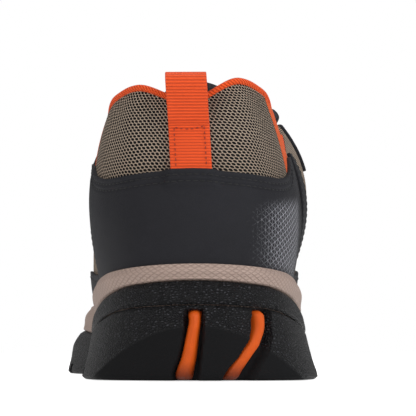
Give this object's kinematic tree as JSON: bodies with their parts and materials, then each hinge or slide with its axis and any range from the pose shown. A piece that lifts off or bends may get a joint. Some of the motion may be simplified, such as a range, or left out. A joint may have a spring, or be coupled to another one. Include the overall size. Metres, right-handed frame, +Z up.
{
  "type": "hiking shoe",
  "caption": "Low-cut hiking shoe with a cupped lugged sole, mesh upper, laced tongue, padded collar and a webbing pull loop at the heel.",
  "frame": {"origin": "middle of the shoe's outline in plan, on the ground", "axes": "+Y from heel to toe, +X to the lateral side of this right shoe, +Z up"},
  "size_m": [0.1142, 0.2992, 0.124],
  "materials": {
    "board": "pressed fibre",
    "foam": "moulded foam with a fine surface pattern",
    "lace": "braided",
    "lining": "brushed knit",
    "mesh": "open knitted mesh",
    "nylon": "moulded",
    "orange": "moulded rubber, matt",
    "orange_fabric": "ribbed knit and webbing",
    "padding": "foam, covered",
    "rubber": "moulded, matt and pebbled",
    "synthetic": "synthetic leather with a fine grain",
    "webbing": "woven"
  },
  "bodies": {
    "shoe": {"collar_foam": "padding", "collar_lining": "lining", "collar_roll": "orange_fabric", "eyestay_lateral": "synthetic", "eyestay_medial": "synthetic", "forefoot_outsole": "rubber", "heel_band": "rubber", "heel_counter": "synthetic", "heel_outsole": "rubber", "heel_stiffener": "board", "insole_board": "board", "lace": "lace", "lace_loop_lateral_1": "webbing", "lace_loop_lateral_2": "webbing", "lace_loop_lateral_3": "webbing", "lace_loop_lateral_4": "webbing", "lace_loop_lateral_5": "webbing", "lace_loop_medial_1": "webbing", "lace_loop_medial_2": "webbing", "lace_loop_medial_3": "webbing", "lace_loop_medial_4": "webbing", "lace_loop_medial_5": "webbing", "midsole": "foam", "mudguard_lateral": "synthetic", "mudguard_medial": "synthetic", "orange_insert_lateral": "orange_fabric", "orange_insert_medial": "orange_fabric", "pull_tab_base": "orange_fabric", "quarter_mesh_lateral": "mesh", "quarter_mesh_medial": "mesh", "rear_mesh_panel": "mesh", "shank_plate": "nylon", "strap_lateral": "synthetic", "strap_medial": "synthetic", "toe_cap": "rubber", "toe_puff": "board", "underlayer": "orange", "vamp_lining": "lining", "vamp_mesh": "mesh"},
    "pull_loop": {"pull_loop": "orange_fabric"},
    "tongue": {"tongue": "lining"},
    "footbed": {"footbed": "padding"}
  },
  "joints": [
    {"name": "pull_loop_bend", "type": "hinge", "parent": "shoe", "child": "pull_loop", "pos_m": [0.01149, -0.14122, 0.0937], "axis": [1, 0, 0], "range_deg": [0, 95], "stiffness_Nm_per_rad": 0.02},
    {"name": "tongue_bend", "type": "hinge", "parent": "shoe", "child": "tongue", "pos_m": [0.00149, 0.04935, 0.061], "axis": [1, 0, 0], "range_deg": [0, 8], "stiffness_Nm_per_rad": 1, "springref_deg": -2.86},
    {"name": "footbed_lift", "type": "hinge", "parent": "shoe", "child": "footbed", "pos_m": [-0.00051, 0.13285, 0.029], "axis": [-1, 0, 0], "range_deg": [0, 5]}
  ]
}
